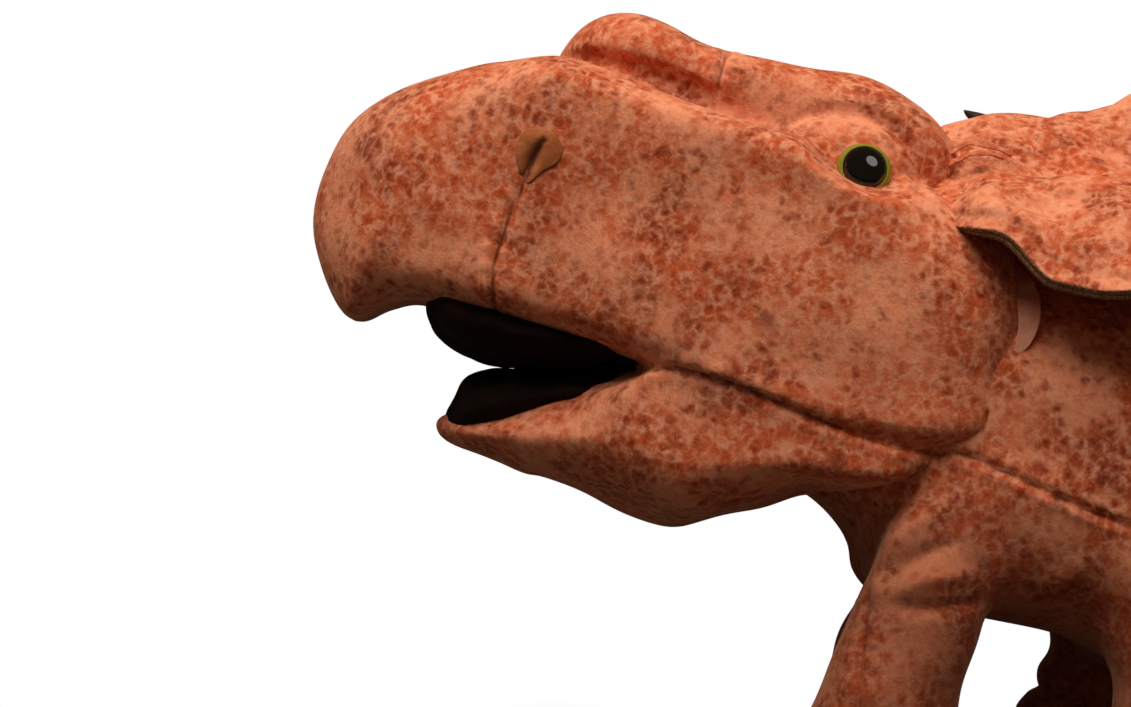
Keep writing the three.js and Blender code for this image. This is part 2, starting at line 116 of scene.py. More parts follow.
# ---- distance fields ----
class Block:
    """A block of space, sampled on a regular grid."""

    def __init__(self, low, high):
        self.low = np.array(low, float)
        counts = np.ceil((np.array(high, float) - self.low) / VOXEL).astype(int) + 1
        axes = [(self.low[i] + VOXEL * np.arange(counts[i])).astype(np.float32) for i in range(3)]
        self.x, self.y, self.z = axes[0][:, None, None], axes[1][None, :, None], axes[2][None, None, :]
        self.shape = tuple(counts)

    def outline(self, points):
        """Signed distance in the XZ plane to a closed outline, negative inside."""
        curve = smooth_curve(points, closed=True, per_span=6)
        x, z = np.meshgrid(self.x.ravel(), self.z.ravel(), indexing="ij")
        flat = np.stack([x.ravel(), z.ravel()], 1)
        gap = distance_to_curve(flat, np.vstack([curve, curve[:1]]))[0]
        inside = np.zeros(len(flat), bool)
        for a, b in zip(curve, np.roll(curve, -1, 0)):
            crosses = (a[1] > flat[:, 1]) != (b[1] > flat[:, 1])
            if a[1] != b[1]:
                inside ^= crosses & (flat[:, 0] < (b[0] - a[0]) * (flat[:, 1] - a[1]) / (b[1] - a[1])
                                     + a[0])
        return np.where(inside, -gap, gap).reshape(x.shape)[:, None, :].astype(np.float32)

    def inflate(self, points, half, rim, power=2.3):
        """A volume with this side outline, half as wide as `half`, rounded off over `rim` at the outline."""
        flat = self.outline(points)
        r = (np.clip(1 + flat / rim, 0, None) ** power + (np.abs(self.y) / half) ** power) ** (1 / power)
        return (r - 1) * np.minimum(rim, half)

    def tube(self, points, radii):
        """A rounded tube through the points; the radius runs smoothly from one to the next."""
        field = np.full(self.shape, 1e3, np.float32)
        for a, b, ra, rb in zip(points[:-1], points[1:], radii[:-1], radii[1:]):
            d = np.subtract(b, a)
            along = (self.x - a[0]) * d[0] + (self.y - a[1]) * d[1] + (self.z - a[2]) * d[2]
            t = np.clip(along / (d @ d), 0, 1)
            gap = np.sqrt((self.x - a[0] - t * d[0]) ** 2 + (self.y - a[1] - t * d[1]) ** 2
                          + (self.z - a[2] - t * d[2]) ** 2)
            field = np.minimum(field, gap - (ra + t * (rb - ra)))
        return field

    def mesh(self, field):
        """Points (mm) and quads of the field's zero surface."""
        full = np.broadcast_to(field, self.shape).astype(np.float32).copy()
        for axis in range(3):
            side = [slice(None)] * 3
            for end in (0, -1):
                side[axis] = end
                full[tuple(side)] = np.maximum(full[tuple(side)], VOXEL)
        grid = openvdb.FloatGrid()
        grid.copyFromArray(full)
        points, _, quads = grid.convertToPolygons(isovalue=0.0, adaptivity=0.0)
        return points.astype(float) * VOXEL + self.low, quads.astype(int)


def join(a, b, soft):
    h = np.clip(0.5 + 0.5 * (b - a) / soft, 0, 1)
    return b * (1 - h) + a * h - soft * h * (1 - h)


def cut(a, b, soft):
    return -join(-a, b, soft)


# ---- surface work on a mesh ----
class Skin:
    """A mesh in millimetres that is worked on before it becomes a Blender object."""

    def __init__(self, points, faces):
        self.p, self.f = points, faces
        self.mask = {"seam": np.zeros(len(points)), "shade": np.zeros(len(points))}
        edges = np.vstack([faces[:, [i, (i + 1) % faces.shape[1]]] for i in range(faces.shape[1])])
        self.edges = np.unique(np.sort(edges, 1), axis=0)
        self.rest = None

    def smooth(self, rounds, share=0.5):
        """Moves each point towards the mean of its neighbours, a few times over."""
        a, b = self.edges.T
        size = len(self.p)
        count = np.bincount(a, minlength=size) + np.bincount(b, minlength=size)
        for _ in range(rounds):
            total = [np.bincount(a, self.p[b, k], size) + np.bincount(b, self.p[a, k], size)
                     for k in range(3)]
            mean = np.stack(total, 1) / count[:, None]
            self.p = self.p + share * (mean - self.p)
        return self

    def normals(self):
        quad = self.p[self.f]
        n = np.cross(quad[:, 2] - quad[:, 0], quad[:, -1] - quad[:, 1])
        corners = range(self.f.shape[1])
        total = np.stack([sum(np.bincount(self.f[:, i], n[:, k], len(self.p)) for i in corners)
                          for k in range(3)], 1)
        return total / np.maximum(np.linalg.norm(total, axis=1), 1e-9)[:, None]

    def push(self, amount):
        """Moves each point along its normal by amount."""
        self.p = self.p + self.normals() * np.asarray(amount)[:, None]
        return self

    def seam(self, curve, depth=1.0, width=1.1, plane="side", side=0, pucker=0.25, ends=6.0, mark=1.0,
             swell=0.35):
        """Draws the cloth in along a seam, swells it on both sides, and puckers it.
        plane: 'side' for a curve in X and Z seen from the side, or 'space' for a curve in space."""
        n = self.normals()
        curve = smooth_curve(curve)
        if plane == "side":
            gap, along = distance_to_curve(self.p[:, [0, 2]], curve)
            facing = step(np.abs(n[:, 1]), 0.12, 0.4)
            if side:
                facing = facing * (np.sign(self.p[:, 1]) == side)
        else:
            gap, along = distance_to_curve(self.p, curve)
            facing = 1.0
        length = np.sum(np.linalg.norm(np.diff(curve, axis=0), axis=1))
        fade = facing
        if ends:
            fade = facing * np.clip(np.minimum(along, length - along) / ends, 0.0, 1.0) ** 0.5
        groove = np.exp(-((gap / width) ** 2))
        lip = np.exp(-(((gap - 2.6 * width) / (1.7 * width)) ** 2))
        wave = np.sin(along * 1.15 + 1.7 * np.sin(along * 0.31 + len(curve)))
        ripple = pucker * wave * np.exp(-((gap - 2.5 * width) / (2.6 * width)) ** 2)
        self.push(fade * (-depth * groove + swell * lip + ripple))
        # The seam mask darkens the line: a seam's own dark line, and painted shade where the curve is a
        # crease.
        self.mask["seam"] = np.maximum(self.mask["seam"],
                                       mark * fade * np.exp(-((gap / (0.62 * width)) ** 2)))
        return self

    def fold(self, curve, height, width, side=0, plane="side"):
        """A soft fold along a curve, fading at both ends. It sinks in where height is negative."""
        n = self.normals()
        curve = smooth_curve(curve)
        where = self.p[:, [0, 2]] if plane == "side" else self.p
        gap, along = distance_to_curve(where, curve)
        length = np.sum(np.linalg.norm(np.diff(curve, axis=0), axis=1))
        facing = step(np.abs(n[:, 1]), 0.1, 0.35) if plane == "side" else 1.0
        if side:
            facing = facing * (np.sign(self.p[:, 1]) == side)
        taper = np.sin(np.pi * np.clip(along / length, 0, 1)) ** 0.7
        return self.push(height * facing * taper * np.exp(-((gap / width) ** 2)))

    def lumps(self, height, size, seed=0):
        """Uneven stuffing: low waves in the surface."""
        local = np.random.default_rng(seed)
        total = np.zeros(len(self.p))
        for _ in range(7):
            direction = local.normal(size=3)
            direction *= 2 * np.pi / (size * local.uniform(0.7, 1.5)) / np.linalg.norm(direction)
            total += np.sin(self.p @ direction + local.uniform(0, 6.28)
                            + 0.8 * np.sin(self.p @ local.normal(size=3) * 2 / size))
        return self.push(height * total / 2.6)

    def part(self, keep):
        """The faces where keep is true, as a Skin of its own with the same points' masks."""
        faces = self.f[keep]
        used, flat = np.unique(faces, return_inverse=True)
        piece = Skin.__new__(Skin)
        piece.p, piece.f = self.p[used], flat.reshape(faces.shape)
        piece.mask = {k: v[used] for k, v in self.mask.items()}
        piece.n, piece.rest = self.n[used], self.rest[used]
        return piece


def make_object(name, skin, material):
    """A Blender mesh object in metres from a Skin."""
    mesh = bpy.data.meshes.new(name)
    points, faces = skin.p * MM, skin.f
    sides = faces.shape[1]
    mesh.vertices.add(len(points))
    mesh.vertices.foreach_set("co", points.astype(np.float32).ravel())
    mesh.loops.add(faces.size)
    mesh.loops.foreach_set("vertex_index", faces.astype(np.int32).ravel())
    mesh.polygons.add(len(faces))
    mesh.polygons.foreach_set("loop_start", np.arange(0, faces.size, sides, dtype=np.int32))
    mesh.update(calc_edges=True)
    mesh.polygons.foreach_set("use_smooth", np.ones(len(faces), bool))
    rest = mesh.attributes.new("rest", "FLOAT_VECTOR", "POINT")
    rest.data.foreach_set("vector", (skin.rest * MM).astype(np.float32).ravel())
    for key, values in skin.mask.items():
        mesh.attributes.new(key, "FLOAT", "POINT").data.foreach_set("value", values.astype(np.float32))
    mesh.normals_split_custom_set_from_vertices([tuple(n) for n in skin.n])
    mesh.materials.append(material)
    obj = bpy.data.objects.new(name, mesh)
    bpy.context.scene.collection.objects.link(obj)
    return obj


# ---- materials ----
def srgb(r, g, b):
    """A colour on the 0 to 255 scale, as linear light."""
    linear = [c / 255 / 12.92 if c <= 10 else ((c / 255 + 0.055) / 1.055) ** 2.4 for c in (r, g, b)]
    return (*linear, 1.0)


class Shader:
    """A small helper to write a material's nodes as expressions."""

    def __init__(self, name, roughness=0.9, sheen=0.0, sheen_tint=(1, 1, 1, 1), coat=0.0, specular=0.2):
        self.material = bpy.data.materials.new(name)
        self.material.use_nodes = True
        self.tree = self.material.node_tree
        self.surface = self.tree.nodes["Principled BSDF"]
        values = {"Roughness": roughness, "Sheen Weight": sheen, "Sheen Roughness": 0.35,
                  "Sheen Tint": sheen_tint, "Coat Weight": coat, "Coat Roughness": 0.03,
                  "Specular IOR Level": specular}
        for key, value in values.items():
            self.surface.inputs[key].default_value = value

    def node(self, kind, inputs=(), out=0, **settings):
        n = self.tree.nodes.new(kind)
        for key, value in settings.items():
            setattr(n, key, value)
        for key, value in dict(inputs).items():
            if isinstance(value, bpy.types.NodeSocket):
                self.tree.links.new(value, n.inputs[key])
            else:
                n.inputs[key].default_value = value
        return n.outputs[out]

    def attribute(self, name, out="Fac"):
        return self.node("ShaderNodeAttribute", out=out, attribute_name=name)

    def place(self):
        """The cloth's own place in millimetres: it stays with the cloth when the toy bends."""
        rest = self.attribute("rest", "Vector")
        return self.node("ShaderNodeVectorMath", {0: rest, 1: (1 / MM,) * 3}, operation="MULTIPLY")

    def noise(self, at, size, detail=2.0, roughness=0.5, out=0):
        return self.node("ShaderNodeTexNoise", {"Vector": at, "Scale": 1 / size, "Detail": detail,
                                                "Roughness": roughness}, out=out)

    def warp(self, at, size, amount):
        """The place pushed about by a noise, so that a pattern over it loses its straight lines."""
        bend = self.node("ShaderNodeVectorMath", {0: self.noise(at, size, 2.0, 0.5, out=1), 1: (0.5,) * 3},
                         operation="SUBTRACT")
        return self.node("ShaderNodeVectorMath", {0: bend, 1: (amount,) * 3, 2: at},
                         operation="MULTIPLY_ADD")

    def cells(self, at, size):
        """The distance to the nearest cell's middle, a random colour per cell, the distance to its edge."""
        inputs = {"Vector": at, "Scale": 1 / size}
        kind = "ShaderNodeTexVoronoi"
        return (self.node(kind, inputs, out="Distance", feature="F1"),
                self.node(kind, inputs, out="Color", feature="F1"),
                self.node(kind, inputs, out="Distance", feature="DISTANCE_TO_EDGE"))

    def ramp(self, value, low, high, to_low=0.0, to_high=1.0):
        return self.node("ShaderNodeMapRange", {"Value": value, "From Min": low, "From Max": high,
                                                "To Min": to_low, "To Max": to_high},
                         interpolation_type="SMOOTHSTEP")

    def times(self, a, b):
        return self.node("ShaderNodeMath", {0: a, 1: b}, operation="MULTIPLY")

    def mix(self, share, a, b):
        n = self.tree.nodes.new("ShaderNodeMix")
        n.data_type = "RGBA"
        for socket, value in ((n.inputs[0], share), (n.inputs[6], a), (n.inputs[7], b)):
            if isinstance(value, bpy.types.NodeSocket):
                self.tree.links.new(value, socket)
            else:
                socket.default_value = value
        return n.outputs[2]

    def colour(self, value):
        if isinstance(value, bpy.types.NodeSocket):
            self.tree.links.new(value, self.surface.inputs["Base Color"])
        else:
            self.surface.inputs["Base Color"].default_value = value

    def bump(self, heights):
        """heights: (height socket, distance in mm, strength) from the largest to the finest."""
        normal = None
        for height, distance, strength in heights:
            inputs = {"Height": height, "Distance": distance * MM, "Strength": strength}
            if normal is not None:
                inputs["Normal"] = normal
            normal = self.node("ShaderNodeBump", inputs)
        self.tree.links.new(normal, self.surface.inputs["Normal"])


def pile(shader, at, height=1.0):
    """The bump of a short pile: clumps of nap and the tips of the fibres."""
    clumps = shader.noise(at, 1.9, 2.0, 0.55)
    tips = shader.noise(at, 0.55, 2.0, 0.6)
    shader.bump([(clumps, 0.3 * height, 0.5), (tips, 0.2 * height, 0.6)])


def printed_cloth():
    """Short pile with a mottled print: dark spots in a pale network over peach and brown patches."""
    s = Shader("printed_cloth", 0.85, sheen=0.35, sheen_tint=srgb(255, 196, 160), specular=0.15)
    at = s.place()
    far = s.node("ShaderNodeVectorMath", {0: at, 1: (83.0, 41.0, 19.0)}, operation="ADD")
    warped = s.warp(s.warp(at, 6.0, 5.0), 1.6, 0.7)
    fine = s.warp(at, 3.0, 2.6)
    patches = s.noise(at, 21.0, 5.0, 0.6)
    tint = s.noise(far, 22.0, 3.0, 0.6)
    dusk = s.noise(far, 15.0, 5.0, 0.64)
    wisps = s.noise(fine, 2.6, 3.0, 0.6)
    cell, chance, edge = s.cells(warped, 2.9)
    small, luck, _ = s.cells(s.warp(far, 4.0, 3.0), 2.1)
    blot, *_ = s.cells(warped, 23.0)
    colour = s.mix(s.ramp(patches, 0.44, 0.60), srgb(184, 76, 38), srgb(226, 138, 100))
    colour = s.mix(s.ramp(tint, 0.50, 0.64, 0, 0.65), colour, srgb(198, 80, 36))
    colour = s.mix(s.ramp(dusk, 0.49, 0.64, 0, 0.8), colour, srgb(134, 48, 24))
    network = s.times(s.ramp(edge, 0.0, 0.34, 1.0, 0.0), s.ramp(wisps, 0.36, 0.6, 0.1, 0.7))
    colour = s.mix(network, colour, srgb(222, 146, 106))
    dense = s.ramp(dusk, 0.38, 0.58, 0.42, 1.0)
    spots = s.times(s.times(s.ramp(cell, 0.05, 0.62, 1.0, 0.0), s.ramp(chance, 0.1, 0.7)), dense)
    colour = s.mix(s.times(spots, 0.9), colour, srgb(126, 42, 18))
    specks = s.times(s.times(s.ramp(small, 0.0, 0.55, 1.0, 0.0), s.ramp(luck, 0.45, 0.7)), dense)
    colour = s.mix(s.times(specks, 0.6), colour, srgb(132, 50, 26))
    colour = s.mix(s.ramp(blot, 0.04, 0.15, 0.65, 0.0), colour, srgb(108, 40, 20))
    colour = s.mix(s.ramp(wisps, 0.5, 0.68, 0.0, 0.4), colour, srgb(228, 158, 126))
    fibre = s.noise(at, 0.8, 3.0, 0.6)
    colour = s.mix(s.ramp(fibre, 0.48, 0.75, 0.0, 0.2), colour, srgb(240, 176, 140))
    colour = s.mix(s.ramp(fibre, 0.5, 0.3, 0.0, 0.17), colour, srgb(112, 44, 22))
    # Darker along the seam mask: the seams' own dark lines, and painted shade along the lid crease.
    colour = s.mix(s.ramp(s.attribute("seam"), 0.15, 1.0, 0.0, 0.8), colour, srgb(74, 30, 15))
    # Painted shade from the mask: darker on the legs and lower body, and along the frill's stitch lines.
    colour = s.mix(s.attribute("shade"), colour, srgb(84, 34, 18))
    s.colour(colour)
    pile(s, at)
    return s.material


def plain_cloth(name, colour, variation, sheen=0.2, tint=(1, 1, 1, 1)):
    """A plain short pile whose nap catches the light unevenly."""
    s = Shader(name, 0.9, sheen=sheen, sheen_tint=tint, specular=0.15)
    at = s.place()
    mixed = s.mix(s.ramp(s.noise(at, 7.0, 3.0, 0.6), 0.35, 0.65), colour, variation)
    mixed = s.mix(s.ramp(s.noise(at, 0.8, 3.0, 0.6), 0.4, 0.75, 0.0, 0.35), mixed, variation)
    # Darker along the seam mask: the seams' own dark lines, and painted shade along the nostril crease.
    mixed = s.mix(s.ramp(s.attribute("seam"), 0.1, 1.0, 0.0, 0.75), mixed,
                  tuple(0.3 * c for c in colour[:3]) + (1,))
    s.colour(mixed)
    pile(s, at)
    return s.material


def raw_edge():
    """The cut edge of the cloth: its knitted khaki backing, with fibres standing out."""
    s = Shader("raw_edge", 0.95, sheen=0.1)
    at = s.place()
    s.colour(s.mix(s.ramp(s.noise(at, 0.6, 2.0, 0.6), 0.35, 0.65), srgb(96, 66, 42), srgb(156, 118, 82)))
    pile(s, at, 0.8)
    return s.material


def glossy(name, colour, roughness=0.08, coat=0.6):
    s = Shader(name, roughness, coat=coat, specular=0.5)
    s.colour(colour)
    return s.material


PRINT = printed_cloth()
BLACK = plain_cloth("black_lining", srgb(17, 9, 6), srgb(27, 15, 10), sheen=0.0)
BELLY = plain_cloth("belly_cloth", srgb(112, 58, 46), srgb(134, 74, 58), tint=srgb(255, 200, 190))
TAN = plain_cloth("nostril_cloth", srgb(176, 104, 62), srgb(150, 82, 46), tint=srgb(255, 220, 190))
HORN = plain_cloth("horn_cloth", srgb(46, 38, 34), srgb(70, 56, 48))
EDGE = raw_edge()
IRIS = glossy("eye_iris", srgb(132, 126, 34), 0.2)
PUPIL = glossy("eye_pupil", srgb(6, 5, 5), 0.05, 1.0)


# ---- head, boss, throat and lower jaw: one field, parted along the mouth and the side seam ----
HEAD_SIDE = [
    (-117, 93.2), (-137, 94.6), (-151.7, 95.2), (-164, 94), (-174.5, 93.5), (-180.5, 89.5),
    (-185.5, 84.6), (-190.5, 84.8), (-198.5, 93.5), (-204.3, 104), (-206.2, 117), (-203.5, 129.5),
    (-196, 140.5), (-185, 149), (-172, 156.5), (-158, 161.3), (-140, 162), (-120, 160.5), (-100, 159.5),
    (-84, 159), (-66, 157), (-49, 151.5), (-35, 144), (-25.5, 132), (-23, 118), (-27, 105), (-40, 95.5),
    (-62, 91), (-90, 91), (-106, 92),
]
HEAD_HALF = [
    (-207, 12), (-203, 15.5), (-198, 19.5), (-190, 25), (-176, 30), (-158, 34), (-140, 37.5), (-117, 42),
    (-90, 47), (-66, 50), (-50, 50), (-38, 48), (-28, 45), (-22, 40),
]
BOSS_SIDE = [
    (-158.5, 158), (-157, 167), (-152, 173.8), (-144.5, 177), (-134, 177), (-118, 175), (-98, 176.6),
    (-84, 177.8), (-72, 176.3), (-62, 172.5), (-54.5, 166), (-51, 158), (-52, 146), (-70, 138),
    (-150, 142),
]
BOSS_HALF = [
    (-160, 12), (-152, 18.5), (-140, 22.5), (-120, 24.5), (-90, 25.5), (-66, 27), (-50, 22),
]
JAW_SIDE = [
    (-117.5, 92.6), (-128, 86.8), (-142, 78.4), (-155.5, 70.3), (-159.6, 67.6), (-159.9, 65.2),
    (-157.6, 63.2), (-152.9, 61.9), (-143, 61), (-135.8, 60.4), (-131, 61.2), (-120, 61), (-108.2, 59.2),
    (-98, 58.9), (-90.8, 61.9), (-80, 69), (-70, 76), (-60, 79), (-48, 86), (-44, 98), (-60, 106),
    (-90, 106), (-110, 101),
]
JAW_HALF = [
    (-161, 13), (-156, 19), (-148, 25), (-138, 29.5), (-117, 37.5), (-98, 43), (-75, 46.5), (-55, 46.5),
    (-42, 43),
]
SIDE_SEAM = [
    (-117, 93.4), (-106.8, 96.2), (-90, 95.9), (-69, 94), (-46.7, 94.2), (-37.5, 96.3), (-2, 92),
    (30, 92), (60, 96), (76, 102),
]
LID_GROOVE = [
    (-101, 27, 158, 1.2), (-97, 27, 161.5, 2.0), (-91, 27, 165.8, 2.6), (-83, 27, 168, 2.8),
    (-75, 27.5, 166, 2.8), (-69, 30, 161, 2.6), (-66, 33, 155, 2.2), (-65, 37, 150, 1.2),
]
BOSS_GROOVE = [
    (-160.2, 0, 161.4, 1.2), (-159, 8, 161.2, 1.6), (-154, 16, 161.6, 2.2), (-146, 21.5, 162.2, 3.0),
    (-134, 24, 162, 3.3), (-122, 25, 160.8, 3.3), (-112, 26.5, 159, 3.0), (-103, 28.5, 158, 2.6),
    (-97, 31, 158, 1.6),
]


# The hollow that the eye sits in and the lid over it: middle and radii (mm), the same on both sides.
EYE_POCKET = (-78, 45, 162.2), (20, 17, 13.8)
LID = (-83, 24.8, 155), (16.5, 8.8, 11.2)


def egg(b, middle, radii):
    """A field of two ellipsoids, one on each side of the toy."""
    r = np.sqrt(sum(((axis - c) / q) ** 2 for axis, c, q in zip((b.x, np.abs(b.y), b.z), middle, radii)))
    return (r - 1) * min(radii)


def head_field(b):
    rim = table([(84, 14), (100, 11), (112, 22), (140, 24), (160, 17)], b.z)
    rim = rim + (8 - rim) * step(b.x, -120, -96) * step(-b.z, -118, -98)
    beak = step(b.x, -175, -184)
    shoulder = step(b.z, 140, 154) * step(b.x, -172, -152) * (1 - step(b.x, -78, -62))
    rim = (rim * (1 - shoulder) + 10.5 * shoulder) * (1 - beak) + 22 * beak
    head = b.inflate(HEAD_SIDE, table(HEAD_HALF, b.x), rim, 2.5)
    boss = b.inflate(BOSS_SIDE, table(BOSS_HALF, b.x), 12, 2.6)
    jaw_rim = table([(60, 22), (76, 18), (90, 4), (106, 6)], b.z)
    jaw = b.inflate(JAW_SIDE, table(JAW_HALF, b.x), jaw_rim, 2.4)
    field = join(head, jaw, 0.8 - 0.55 * step(b.x, -117, -100))
    field = cut(field, egg(b, *EYE_POCKET), 2.5)
    for y in (-1, 1):
        for groove in (BOSS_GROOVE, LID_GROOVE):
            tube = b.tube([(x, y * lateral, z) for x, lateral, z, _ in groove], [r for *_, r in groove])
            boss = cut(boss, tube, 1.0)
            field = cut(field, tube, 1.6)
    field = join(field, boss, 1.0)
    return join(field, egg(b, *LID), 0.6)


def head_details(skin, side):
    skin.seam(SIDE_SEAM, depth=1.0, width=0.75, side=side, pucker=0.25, ends=0, mark=0.8)
    skin.seam([(-153.9, 137.6), (-154.8, 134.5), (-155.2, 131), (-155.4, 128)], depth=2.2, width=1.5,
              side=side, pucker=0)
    skin.seam([(-155.2, 129), (-156.3, 118), (-156.2, 106), (-153.2, 95.5)], depth=0.9, width=0.8,
              side=side, pucker=0.2, ends=0)
    # The lid crease is drawn in and darkened with the seam mark: painted shade along the crease.
    crease = [(x, side * (y + 1), z + 0.5) for x, y, z, _ in LID_GROOVE]
    skin.seam(crease, depth=0.9, width=0.9, plane="space", pucker=0, mark=0.5, swell=0.2)
    skin.seam([(-118, 163), (-118.5, 170), (-118, 176.5)], depth=1.3, width=0.8, side=side, pucker=0.3,
              ends=0, mark=0.8)


head_block = Block((-212, -60, 52), (-14, 60, 186))
head_skin = Skin(*head_block.mesh(head_field(head_block))).smooth(2)
head_skin.lumps(0.55, 26, seed=3)
for side in (-1, 1):
    head_details(head_skin, side)
head_skin.rest = head_skin.p.copy()
head_skin.n = head_skin.normals()


def seam_height(x):
    return np.interp(x, [-200, -117] + [p[0] for p in SIDE_SEAM[1:]],
                     [72.6, 93.4] + [p[1] for p in SIDE_SEAM[1:]])


centres = head_skin.p[head_skin.f].mean(1)
is_lower = centres[:, 2] < seam_height(centres[:, 0])
head_upper = make_object("head_skin", head_skin.part(~is_lower), PRINT)
jaw_skin = make_object("jaw_and_throat_skin", head_skin.part(is_lower), PRINT)
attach(head_upper, "head")
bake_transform(jaw_skin)


# ---- torso, neck, legs and tail: one field, parted where the toy bends ----
TORSO_SIDE = [
    (-84, 88), (-76, 79), (-66, 75.5), (-57, 71), (-52.5, 67), (-49.5, 61), (-42, 57.5), (-20, 59),
    (0, 60.5), (14, 57.5), (30, 55), (48, 58), (64, 68), (74, 82), (79, 98), (78, 114), (71, 130),
    (55, 143), (34, 150), (8, 151), (-14, 150), (-36, 147), (-60, 145), (-76, 134),
]
TORSO_HALF = [
    (-84, 32), (-62, 39), (-48, 43.5), (-32, 47), (-10, 50), (10, 53), (34, 54), (55, 48), (70, 38),
    (80, 26),
]
TAIL_LINE = [
    (60, 0, 106), (78, 0, 105), (96, 0, 100), (118, 0, 93.5), (146, 0, 85.5), (176, 0, 79.5),
    (200, 0, 76.3),
]
TAIL_RADII = [26, 20, 16.5, 13.5, 10, 6.6, 3.4]


class Leg:
    def __init__(self, name, side, fore, shift):
        self.name, self.side, self.fore, self.shift = name, side, fore, shift
        self.x, self.y, self.z = ((-37.5 if side < 0 else -31), 36, 80) if fore else (27, 38, 82)
        if fore:
            self.along = [(-4, 17), (1, 19), (8, 20.8), (15, 20.5), (26, 17.8), (40, 16), (52, 14.6),
                          (62, 14.3), (74, 14), (86, 10), (96, 4)]
            self.across = [(-4, 16), (1, 18), (8, 20), (15, 19.8), (26, 17.5), (40, 16), (52, 14.6),
                           (62, 13.8), (74, 12), (86, 8), (96, 3)]
        else:
            self.along = [(-4, 17), (1, 19.5), (8, 21), (15, 20.8), (26, 18.8), (40, 17.8), (54, 18.4),
                          (66, 21.5), (82, 25), (98, 22), (112, 6)]
            self.across = [(-4, 17), (1, 18.5), (8, 20.3), (15, 20), (26, 18), (40, 16.5), (54, 16),
                           (66, 16.5), (82, 17.5), (98, 13), (112, 4)]

    def centre_x(self, z):
        return self.x + self.shift * np.clip(1 - z / self.z, 0, 1)

    def field(self, b):
        along, across = table(self.along, b.z), table(self.across, b.z)
        r = np.sqrt(((b.x - self.centre_x(b.z)) / along) ** 2 + ((b.y - self.side * self.y) / across) ** 2)
        column = (r - 1) * np.minimum(along, across)
        return cut(np.maximum(column, b.z - 112), b.z - 1.6, 3.0)


LEGS = [Leg("foreleg_left", -1, True, -1), Leg("foreleg_right", 1, True, 6),
        Leg("hindleg_left", -1, False, 6), Leg("hindleg_right", 1, False, 3)]


def body_field(b):
    rim = table([(54, 30), (90, 34), (130, 40), (150, 46)], b.z)
    field = b.inflate(TORSO_SIDE, table(TORSO_HALF, b.x), rim, 2.25)
    for leg in LEGS:
        field = join(field, leg.field(b), 7.0 if leg.fore else 8.0)
    return join(field, b.tube(TAIL_LINE, TAIL_RADII), 12.0)


def body_details(skin, side):
    skin.seam(SIDE_SEAM, depth=1.0, width=0.75, side=side, pucker=0.35, ends=0, mark=0.8)
    for curve, height, width in ARMPIT_FOLDS:
        skin.fold(curve, height, width, side=side)
    for leg in LEGS:
        if leg.side == side and leg.fore:
            line = [(-10.0, 4), (-9.4, 24), (-9.2, 36), (-11.6, 51), (-13.2, 60), (-16.5, 68), (-20, 77)]
            skin.seam([(leg.centre_x(z) + x, z) for x, z in line], depth=0.9, width=0.8, side=side,
                      pucker=0.25, ends=0, mark=0.55)


ARMPIT_FOLDS = [
    ([(-50, 63), (-44, 70), (-34, 78)], -1.9, 2.0),
    ([(-51, 67), (-46, 76), (-38, 86)], 1.5, 2.2),
    ([(-48, 60), (-40, 66), (-28, 72)], 1.4, 2.0),
    ([(-46, 58), (-36, 61), (-24, 66)], -1.6, 1.7),
    ([(-54, 71), (-51, 80), (-46, 90)], -1.7, 2.0),
    ([(-24, 62), (-14, 70), (-4, 84)], 0.9, 2.8),
    ([(-22, 60), (-8, 66), (6, 72)], -0.9, 2.6),
]
PRINT_SHIFT = 11.0, 7.0, 5.0  # mm, so that the print does not run on from head to body
# Painted shade on the legs and lower body: its strength, and the heights (mm) where it starts and where it
# is full.
LEG_SHADE, LEG_SHADE_TOP, LEG_SHADE_FULL = 0.55, 98, 62
HIND_FOLDS = [
    ([(20, 22, 54), (11, 36, 49), (20, 50, 54)], 2.6, 4.0),
    ([(18, 21, 47), (9, 36, 43.5), (18, 51, 47)], -1.4, 1.6),
    ([(22, 20, 41), (9, 36, 37), (22, 52, 41)], 5.0, 5.5),
    ([(20, 20, 33), (8, 36, 30), (20, 52, 33)], -1.4, 1.8),
]
body_block = Block((-90, -66, -4), (208, 66, 156))
body_skin = Skin(*body_block.mesh(body_field(body_block))).smooth(2)
body_skin.lumps(0.8, 30, seed=5)
for side in (-1, 1):
    body_details(body_skin, side)
for curve, height, width in HIND_FOLDS:
    body_skin.fold(curve, height, width, plane="space")
# Painted shade: the cloth darkens from LEG_SHADE_TOP down to LEG_SHADE_FULL, standing in for the shade on
# the legs and lower body.
leg_shade = LEG_SHADE * step(-body_skin.p[:, 2], -LEG_SHADE_TOP, -LEG_SHADE_FULL)
body_skin.mask["shade"] = np.maximum(body_skin.mask["shade"], leg_shade)
body_skin.rest = body_skin.p + np.array(PRINT_SHIFT)
body_skin.n = body_skin.normals()

NECK_NORMAL = np.array([-0.917, 0, 0.4])
NECK_START = np.array([-53.0, 0, 70])
NECK_MIDDLE, NECK_END = 10.0, 22.0  # mm along the normal: where the neck body and the head body take over
TAIL_START, TAIL_END = 66.0, 90.0
LEG_START, LEG_END = 62.0, 38.0
LEG_PARTING = 2.0  # mm along X, between the fore feet and the hind feet
LEG_MARGIN = 1.35  # how many of its radii a leg's cover reaches out, below LEG_START
FEET_BELOW = 50  # mm above the floor: what is lower than this belongs to a foot

